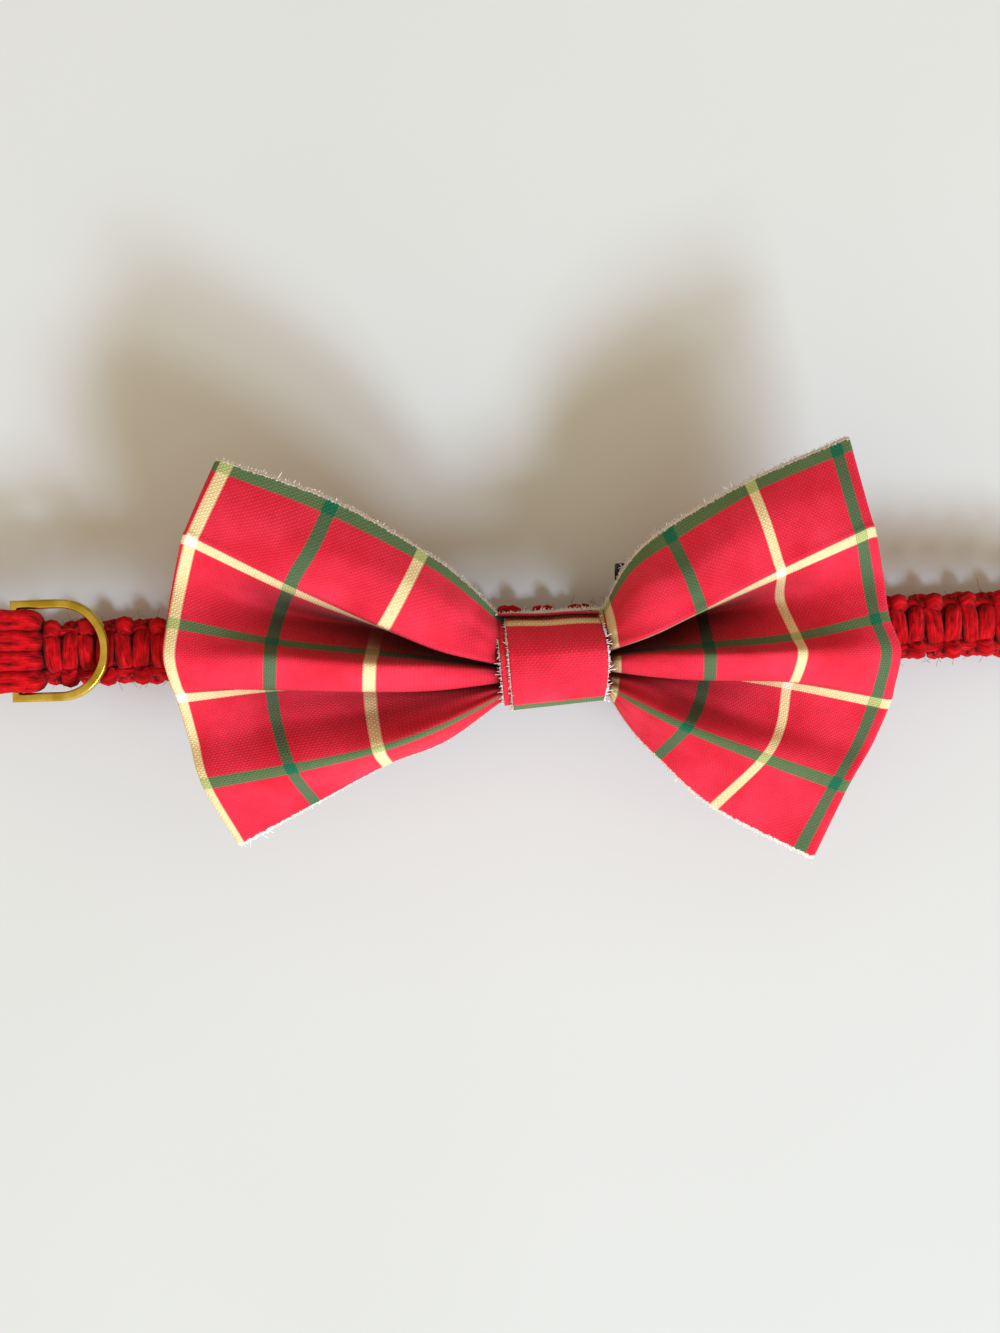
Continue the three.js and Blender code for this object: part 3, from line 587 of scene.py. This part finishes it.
def back_layer(front):
    """The back from the right tip to the left: the front's outline with its overhangs half pulled
    out, lying low against the strap in six soft gathers of 1 - cos, which are deeper clear of the
    strap, and meeting the front's height at the tips. The gathers are a guess, and their depth is
    what takes up enough of the flat cloth: the layer is hidden from above."""
    columns, rows = front.shape[:2]
    heights = [2 * FOLD_TURN, *(BACK_HEIGHT[name] for name in COLUMNS[1:])]
    level = resample(heights, COLUMN_STEPS)
    level = np.concatenate([level, np.full(BUNDLE_STEPS, level[-1]), level[::-1]])[:, None]
    share = np.linspace(0, 1, rows)[None, :, None]
    even = front[:, :1] * (1 - share) + front[:, -1:] * share
    # How much of the front's own shape the back keeps: all of it at the tip, a little further in.
    from_tip = np.minimum(np.arange(columns), columns - 1 - np.arange(columns))
    keep = np.exp(-(from_tip / 12) ** 2)[:, None]
    points = even * 0.5 + front * 0.5
    clear_of_strap = np.clip((np.abs(points[..., 1]) - 8) / 5, 0, 1)
    gathers = (0.7 + 2.9 * clear_of_strap) * (1 - np.cos(2 * np.pi * 6 * share[..., 0]))
    fold = front[..., 2] - 2 * FOLD_TURN
    low = np.minimum(level, front[..., 2] - 1.4) - gathers * (1 - keep)
    points[..., 2] = fold * keep + low * (1 - keep)
    points[..., :2] = points[..., :2] * (1 - keep[..., None]) + front[..., :2] * keep[..., None]
    # The back's top edge stands out a little behind the front's.
    points[:, 0, 1] += 0.35 * (1 - keep[:, 0])
    return points[::-1]


def tip_turn(line, side):
    """The half round between the layers at a tip, a few steps of a circle below the front line:
    from front to back at the right tip (side 1), and from back to front at the left one (-1)."""
    angle = side * np.linspace(np.pi / 2, -np.pi / 2, TURN_STEPS + 2)[1:-1]
    step = np.stack([side * FOLD_TURN * np.cos(angle), 0 * angle, FOLD_TURN * (np.sin(angle) - 1)], -1)
    return line[None] + step[:, None]


def bow_sheet():
    """The whole sleeve as one closed strip of columns, and the cloth lengths at every point. The
    outer folds run a little aslant of the weave, so the stripes drift towards them downwards. A
    dimple of exp(-distance^2) is pressed in at the left throat, just under the top edge."""
    front, along, down = front_layer()
    left_side = np.arange(len(along)) < len(along) / 2
    from_tip = np.where(left_side, along, along - RIGHT_SHIFT)
    front[..., 2] += ripples(from_tip[:, None], down[None])
    dimple = np.exp(-((from_tip - 46.3) / 1.6) ** 2)[:, None] * np.exp(-((down - 9) / 4.2) ** 2)[None]
    front[..., 2] -= 2.0 * dimple * left_side[:, None]
    points = np.concatenate([front, tip_turn(front[-1], 1), back_layer(front), tip_turn(front[0], -1)])
    points[..., 2] += BOW_Z
    half_round = np.pi * FOLD_TURN
    arc = half_round * np.arange(1, TURN_STEPS + 1) / (TURN_STEPS + 1)
    back = np.where(left_side, -along - half_round, RIGHT_SHIFT - from_tip - half_round)[::-1]
    lengths = np.concatenate([along, RIGHT_SHIFT - arc, back, arc - half_round, along[:1]])
    near_left, near_right = (np.exp(-(from_tip / 9) ** 2) * side for side in (left_side, ~left_side))
    turn, no_turn = np.ones(TURN_STEPS), np.zeros(TURN_STEPS)
    near_left = np.concatenate([near_left, no_turn, near_left[::-1], turn, [1]])
    near_right = np.concatenate([near_right, turn, near_right[::-1], no_turn, [0]])
    u, v = np.meshgrid(lengths, down, indexing="ij")
    u = u + near_left[:, None] * (0.3 + 0.021 * v) + near_right[:, None] * 0.5
    return points, np.stack([u, v], -1)


def plaid_cotton(name, hollow_reach, raw_to, lone_stripes=None):
    """Plain-woven cotton in a plaid of red, green and cream. u and v are millimetres of cloth. The
    stripes come every 17 mm, green and cream in turn, 2.3 and 1.9 mm wide; a green stripe over a
    green one is a deep blue-green, cream over cream nearly white, and green over cream a dull
    lime. Threads lie 0.42 mm apart, over and under in turn, as sin u times sin v; shade between
    them and highlights on their crowns are painted into the colour. The edges at v = 0 and
    v = raw_to are raw and show white fibre ends. Shade is painted into folds: where other cloth is
    nearer than hollow_reach metres, the colour is darkened towards dark red. A cut strip has no
    upright stripes, and just one cream and one green one across it, at lone_stripes."""
    material, tree = new_material(name)
    uv = node(tree, "UVMap", uv_map="surface")
    split = node(tree, "SeparateXYZ", [("Vector", uv, "UV")])
    u, v = (split, "X"), (split, "Y")

    def calc(operation, *values):
        """One step of arithmetic on numbers or on (node, output) pairs."""
        made = node(tree, "Math", operation=operation)
        for socket, value in enumerate(values):
            if isinstance(value, tuple):
                tree.links.new(value[0].outputs[value[1]], made.inputs[socket])
            else:
                made.inputs[socket].default_value = value
        return made, "Value"

    def scaled(value, low, high, to_low, to_high):
        """The value carried from low..high to to_low..to_high, and held there beyond."""
        return node(tree, "MapRange", [("Value", *value)], From_Min=low, From_Max=high, To_Min=to_low,
                    To_Max=to_high), "Result"

    def stripes(coordinate, middle, wide, repeat=True):
        """1 on a stripe and 0 off it: the distance to the nearest middle, against half a width."""
        beside = calc("SUBTRACT", coordinate, middle)
        distance = calc("PINGPONG", beside, STRIPE_PITCH) if repeat else calc("ABSOLUTE", beside)
        return scaled(distance, wide / 2 + 0.14, wide / 2 - 0.14, 0, 1)

    def paint(under, colour, mask):
        """The colour laid over what is there, wherever the mask is 1."""
        mixed = node(tree, "MixRGB", [("Color1", *under), ("Fac", *mask)], Color2=linear(colour))
        return mixed, "Color"

    # Two sets of threads, a little uneven in their run, and thicker and thinner along their length.
    drift = node(tree, "TexNoise", [("Vector", uv, "UV")], Scale=0.9, Detail=2.0)
    drift_by = calc("MULTIPLY", (drift, "Fac"), 0.35)
    warp = calc("SINE", calc("MULTIPLY", calc("ADD", u, drift_by), np.pi / THREAD))
    weft = calc("SINE", calc("MULTIPLY", calc("SUBTRACT", v, drift_by), np.pi / THREAD))
    over = calc("MULTIPLY", warp, weft)
    crown = calc("ABSOLUTE", over)
    slubs = []
    for scale in ((0.35, 2.4, 1), (2.4, 0.35, 1)):
        drawn_out = node(tree, "Mapping", [("Vector", uv, "UV")], Scale=scale)
        slub = node(tree, "TexNoise", [("Vector", drawn_out, "Vector")], Scale=1.0, Detail=3.0)
        slubs.append((slub, "Fac"))
    uneven = calc("MULTIPLY", calc("ADD", *slubs), 0.25)

    # The ground, faded in soft patches, and the stripes. A stripe's own threads cover nearly all
    # of it; red ones show between them.
    worn = node(tree, "TexNoise", [("Vector", uv, "UV")], Scale=0.09, Detail=3.0)
    ground = node(tree, "ValToRGB", [("Fac", worn, "Fac")], [(0.35, "#dc1530"), (0.68, "#f02c48")])
    cover = scaled(over, -0.5, 0.5, 0.90, 1.0)
    if lone_stripes:
        cream_v = stripes(v, lone_stripes[0], CUT_CREAM_WIDE, False)
        green_v = stripes(v, lone_stripes[1], GREEN_WIDE, False)
    else:
        green_v = stripes(v, FIRST_STRIPE, GREEN_WIDE)
        cream_v = stripes(v, FIRST_STRIPE + STRIPE_PITCH, CREAM_WIDE)
    dyed = paint((ground, "Color"), "#4c7448", calc("MULTIPLY", green_v, cover))
    dyed = paint(dyed, "#f6dda4", calc("MULTIPLY", cream_v, cover))
    if not lone_stripes:
        cream_u = stripes(u, FIRST_STRIPE, CREAM_WIDE)
        green_u = stripes(u, FIRST_STRIPE + STRIPE_PITCH, GREEN_WIDE)
        dyed = paint(dyed, "#3f6a46", calc("MULTIPLY", green_u, cover))
        dyed = paint(dyed, "#f6dda4", calc("MULTIPLY", cream_u, cover))
        dyed = paint(dyed, "#0c6a4a", calc("MULTIPLY", green_u, green_v))
        dyed = paint(dyed, "#fdf6e3", calc("MULTIPLY", cream_u, cream_v))
        both = calc("ADD", calc("MULTIPLY", green_u, cream_v), calc("MULTIPLY", cream_u, green_v))
        dyed = paint(dyed, "#b9bd76", both)

    # White fibre ends, up to a millimetre in from the raw edges.
    from_edge = calc("MINIMUM", v, calc("SUBTRACT", raw_to, v))
    ragged = node(tree, "TexNoise", [("Vector", uv, "UV")], Scale=2.2, Detail=2.0)
    raw = scaled(calc("SUBTRACT", from_edge, calc("MULTIPLY", (ragged, "Fac"), 0.95)), 0.12, -0.12, 0, 1)
    dyed = paint(dyed, "#fbf4ea", calc("MULTIPLY", raw, 0.85))

    # Painted shade and highlight: the colour is darkened between threads and brightened on their crowns,
    # as light would fall on the weave; the slubs add real unevenness of tone.
    tone = calc("ADD", calc("ADD", calc("MULTIPLY", crown, 0.4), calc("MULTIPLY", over, 0.16)), uneven)
    tone = scaled(tone, 0.02, 0.68, 0.55, 1.18)
    woven = node(tree, "VectorMath", [(0, *dyed), ("Scale", *tone)], operation="SCALE")
    # Painted shade: ambient occlusion darkens the colour in deep folds, multiplying it towards dark red,
    # where little light would get in.
    painted_shade_occlusion = node(tree, "AmbientOcclusion", samples=8, Distance=hollow_reach)
    painted_shade_share = scaled((painted_shade_occlusion, "AO"), 0.25, 0.90, 1, 0)
    shaded = node(tree, "MixRGB", [("Color1", woven, "Vector"), ("Fac", *painted_shade_share)], blend_type="MULTIPLY",
                  Color2=linear("#7c1c1a"))
    height = calc("ADD", calc("MULTIPLY", crown, 0.6), calc("MULTIPLY", over, 0.4))
    bump = node(tree, "Bump", [("Height", *height)], Strength=0.6, Distance=0.00016)
    skin = node(tree, "BsdfPrincipled", [("Base Color", shaded, "Color"), ("Normal", bump, "Normal")],
                Roughness=0.85, Sheen_Weight=0.05, Sheen_Roughness=0.4, Specular_IOR_Level=0.32)
    node(tree, "OutputMaterial", [("Surface", skin, "BSDF")])
    return material


def thicken(piece):
    """Gives a sheet the cloth's thickness, half to each side."""
    solidify = piece.modifiers.new("thickness", "SOLIDIFY")
    solidify.thickness = CLOTH * MM
    solidify.offset = 0


plaid = plaid_cotton("plain_woven_plaid_cotton", 0.014, CLOTH_DEPTH)
bow_points, bow_uv = bow_sheet()
bow = grid_mesh("plaid_bow", [(bow_points, bow_uv, True, False, False)], plaid)
thicken(bow)
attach(bow, "root")
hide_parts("bow")


# ---- Wrap -------------------------------------------------------------------------------------
# A strip of the same cotton wound nearly twice round the middle of the bow. Its outer end is cut
# raw across the front, just below the top; both long edges fray white.

WRAP_MIDDLE = -3.5                # middle of the winding along Y
WRAP_TURNS = (33, 690)            # degrees round, from the outer raw end to the hidden one
WRAP_HALF_DEPTH = (8.2, 6.8)      # outermost and innermost half depth along Y
WRAP_HALF_THICK = (5.5, 4.1)      # the same along Z
WRAP_ROWS, WRAP_COLUMNS = 260, 44
WRAP_CREAM = 1.5                  # the cream stripe, from the outer raw end
WRAP_GREEN_UP = 1.5               # the green stripe, from the lowest edge upwards along the cloth
FAR = 1000.0                      # the hidden end's raw edge is not drawn


def wrap_sheet():
    """The wound strip: nearly two turns of a squarish oval that shrinks inwards, carried across in
    X. y = depth |cos|^0.88 and z = thickness |sin|^0.95, signs kept. Its right edge bows out, its
    lower end hangs a little to the left, as it was pulled tight, and its front leans back towards
    the top as 0.4 (y + 3)^1.3. Returns the points, the cloth's lengths, and the length down to the
    lowest edge of the outer turn."""
    angle = np.radians(np.linspace(*WRAP_TURNS, 1200))
    share = np.linspace(0, 1, 1200)
    depth = np.interp(share, (0, 1), WRAP_HALF_DEPTH)
    thick = np.interp(share, (0, 1), WRAP_HALF_THICK)
    y = WRAP_MIDDLE + depth * np.sign(np.cos(angle)) * np.abs(np.cos(angle)) ** 0.88
    z = thick * np.sign(np.sin(angle)) * np.abs(np.sin(angle)) ** 0.95
    length = path_length(np.stack([y, z], -1))
    even = np.linspace(0, length[-1], WRAP_ROWS)
    y, z, under = (np.interp(even, length, column)[:, None] for column in (y, z, share))
    across = np.linspace(0, 1, WRAP_COLUMNS)[None]
    fall = np.clip((4 - y) / 15.5, 0, 1)     # 0 at the top edge, 1 at the lowest one
    left = -8.5 + fall - 1.5 * np.clip(3 * under - 0.6, 0, 1)
    right = 7.5 + 4.4 * fall * (1 - fall) + 0.4 * fall + 0.3 * under
    x = left + (right - left) * across
    front = np.clip(z / 2, 0, 1)
    crowned = 0.35 * np.cos((across - 0.5) * np.pi) - 0.15 + 0.10 * np.sin(y * 0.8 + 5 * across)
    z = z + front * crowned - 0.40 * front * np.maximum(y + 3, 0) ** 1.3
    y = y - 0.9 * fall * (1 - across) + 0.35 * fall * across + 0.10 * np.sin(9 * across + 1) * (1 - fall)
    uv = np.stack(np.broadcast_arrays((right - left) * across + 20, even[:, None]), -1)
    lowest = np.argmin(y[:WRAP_ROWS // 2, WRAP_COLUMNS // 2])
    return np.stack([x, y, z + BOW_Z], -1), uv, even[lowest]


wrap_points, wrap_uv, wrap_bottom = wrap_sheet()
# Its painted fold shade reaches 30 mm, further than on the bow, so more of the wrap is painted darker.
wrap_cotton = plaid_cotton("plain_woven_plaid_cotton_of_the_wrap", 0.03, FAR,
                           (WRAP_CREAM, wrap_bottom - WRAP_GREEN_UP))
wrap = grid_mesh("plaid_wrap", [(wrap_points, wrap_uv, False, False, False)], wrap_cotton)
thicken(wrap)
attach(wrap, "root")
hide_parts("wrap")


# ---- Frayed threads ---------------------------------------------------------------------------
# Where the cloth is cut raw, its undyed thread ends stand out as a fine white fringe along the top
# and bottom edges of the bow and round the wrap's free edges.

def fringe(edges, spacing, reach, seed):
    """Short threads along edges. Each edge is (points, way out). A thread leaves it every
    `spacing` millimetres or so, turned and bent at random, as a three-sided strand of 0.1 mm; one
    in twenty is much longer than `reach`."""
    rng = np.random.default_rng(seed)
    grids = []
    steps = np.linspace(0, 1, 5)[:, None]
    for line, way in edges:
        length = path_length(line)
        count = int(length[-1] / spacing)
        where = np.sort(rng.uniform(0, length[-1], count))
        roots = np.stack([np.interp(where, length, line[:, k]) for k in range(3)], -1)
        ways = np.stack([np.interp(where, length, way[:, k]) for k in range(3)], -1)
        for root_point, out in zip(roots, unit(ways)):
            long_one = rng.uniform() < 0.05
            size = reach * rng.uniform(0.35, 1.0) * (2.6 if long_one else 1)
            aim = out + rng.normal(0, 0.35, 3)
            bend = rng.normal(0, 0.3, 3)
            start = root_point - 0.15 * out + rng.normal(0, 0.06, 3)
            path = start + size * (steps * aim + steps ** 2 * bend)
            grids.append(sweep(path, np.broadcast_to([0.2, 0.3, 0.93], (5, 3)), 0.06, 0.05, 3))
    return grids


def thread_ends():
    """Undyed cotton thread ends: nearly white, matt, a little pink from the dye in places."""
    material, tree = new_material("frayed_cotton_thread_ends")
    place = node(tree, "TexCoord")
    patch = node(tree, "TexNoise", [("Vector", place, "Object")], Scale=700.0, Detail=1.0)
    ramp = node(tree, "ValToRGB", [("Fac", patch, "Fac")], [(0.28, "#f2cec8"), (0.42, "#fffaf2")])
    skin = node(tree, "BsdfPrincipled", [("Base Color", ramp, "Color")], Roughness=0.9)
    node(tree, "OutputMaterial", [("Surface", skin, "BSDF")])
    return material


def edge_of(points, row, inner):
    """A sheet's edge line and the way out of the cloth along it."""
    return points[:, row], points[:, row] - points[:, inner]


top_edges = [edge_of(bow_points, 0, 3)]
bottom_edges = [edge_of(bow_points, -1, -4)]
# The front of the wrap's outer turn, and of the inner one, which shows at the left only.
outer_front, inner_front = wrap_points[:70], wrap_points[128:200]
cut_end = (wrap_points[0], wrap_points[0] - wrap_points[3])
wrap_edges = [edge_of(outer_front, 0, 2), edge_of(outer_front, -1, -3), edge_of(inner_front, 0, 2),
              cut_end]
white_ends = thread_ends()
bow_fringe = grid_mesh("bow_frayed_edges", fringe(top_edges, 0.10, 0.42, 8)
                       + fringe(bottom_edges, 0.3, 0.4, 18), white_ends)
wrap_fringe = grid_mesh("wrap_frayed_edges", fringe(wrap_edges, 0.05, 0.42, 9), white_ends)
for ends in (bow_fringe, wrap_fringe):
    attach(ends, "root")


# ---- Floor, light and camera ------------------------------------------------------------------
# A pale board under a window low in front of the collar and to its right, made of two soft lamps,
# and a warm glow from all round, seen from straight above and turned a little.

def pale_board():
    """Painted board: matt off-white with a barely visible unevenness."""
    material, tree = new_material("matt_painted_board")
    place = node(tree, "TexCoord")
    uneven = node(tree, "TexNoise", [("Vector", place, "Object")], Scale=9.0, Detail=2.0)
    ramp = node(tree, "ValToRGB", [("Fac", uneven, "Fac")], [(0, "#cbc9c6"), (1, "#d2d0ce")])
    skin = node(tree, "BsdfPrincipled", [("Base Color", ramp, "Color")], Roughness=0.7,
                Specular_IOR_Level=0.2)
    node(tree, "OutputMaterial", [("Surface", skin, "BSDF")])
    return material


FLOOR_HALF = 8.0                  # metres from the middle to each side
floor_mesh = bpy.data.meshes.new("floor")
floor_corners = [(x, y, 0) for x, y in FLOOR_HALF * np.array([(-1, -1), (1, -1), (1, 1), (-1, 1)])]
floor_mesh.from_pydata(floor_corners, [], [(0, 1, 2, 3)])
floor_mesh.materials.append(pale_board())
floor = bpy.data.objects.new("floor", floor_mesh)
bpy.context.collection.objects.link(floor)


def lamp(name, azimuth, elevation, distance, size, power, colour):
    """A square soft lamp aimed at the bow from that side (0 is -Y, 90 is +X) and height."""
    data = bpy.data.lights.new(name, "AREA")
    data.size, data.energy, data.color = size, power, linear(colour)[:3]
    made = bpy.data.objects.new(name, data)
    a, e = math.radians(azimuth), math.radians(elevation)
    way = np.array([math.sin(a) * math.cos(e), -math.cos(a) * math.cos(e), math.sin(e)])
    aim = (PLACE + np.array([0, 0, 20])) * MM
    made.location = aim + way * distance
    made.rotation_mode = "QUATERNION"
    made.rotation_quaternion = Vector(way).to_track_quat("Z", "Y")
    bpy.context.collection.objects.link(made)


lamp("window", 20, 37, 2.4, 0.54, 46, "#cee6ff")
lamp("window beside it", 42, 42, 2.4, 0.6, 28, "#cee6ff")

# The room's own light: warm, and brighter on the window's side (-Y) than across from it.
world = bpy.data.worlds.new("warm room")
world.use_nodes = True
background = world.node_tree.nodes["Background"]
background.inputs["Color"].default_value = linear("#fff0d0")
direction = node(world.node_tree, "TexCoord")
towards = node(world.node_tree, "SeparateXYZ", [("Vector", direction, "Object")])
glow = node(world.node_tree, "MapRange", [("Value", towards, "Y")], From_Min=-1.0, From_Max=1.0,
            To_Min=1.28, To_Max=0.30)
world.node_tree.links.new(glow.outputs["Result"], background.inputs["Strength"])
bpy.context.scene.world = world
# The strong reds stay strong.
bpy.context.scene.view_settings.view_transform = "Standard"

camera_data = bpy.data.cameras.new("camera")
camera_data.sensor_fit = "AUTO"
camera_data.sensor_width = 36
camera_data.lens = 58.93          # with the floor 400 mm below, the picture is 183 mm wide
camera = bpy.data.objects.new("camera", camera_data)
camera.location = (PLACE + np.array([-9.61, -4.87, 400])) * MM
camera.rotation_euler = (0, 0, math.radians(-1.8))
bpy.context.collection.objects.link(camera)
bpy.context.scene.camera = camera
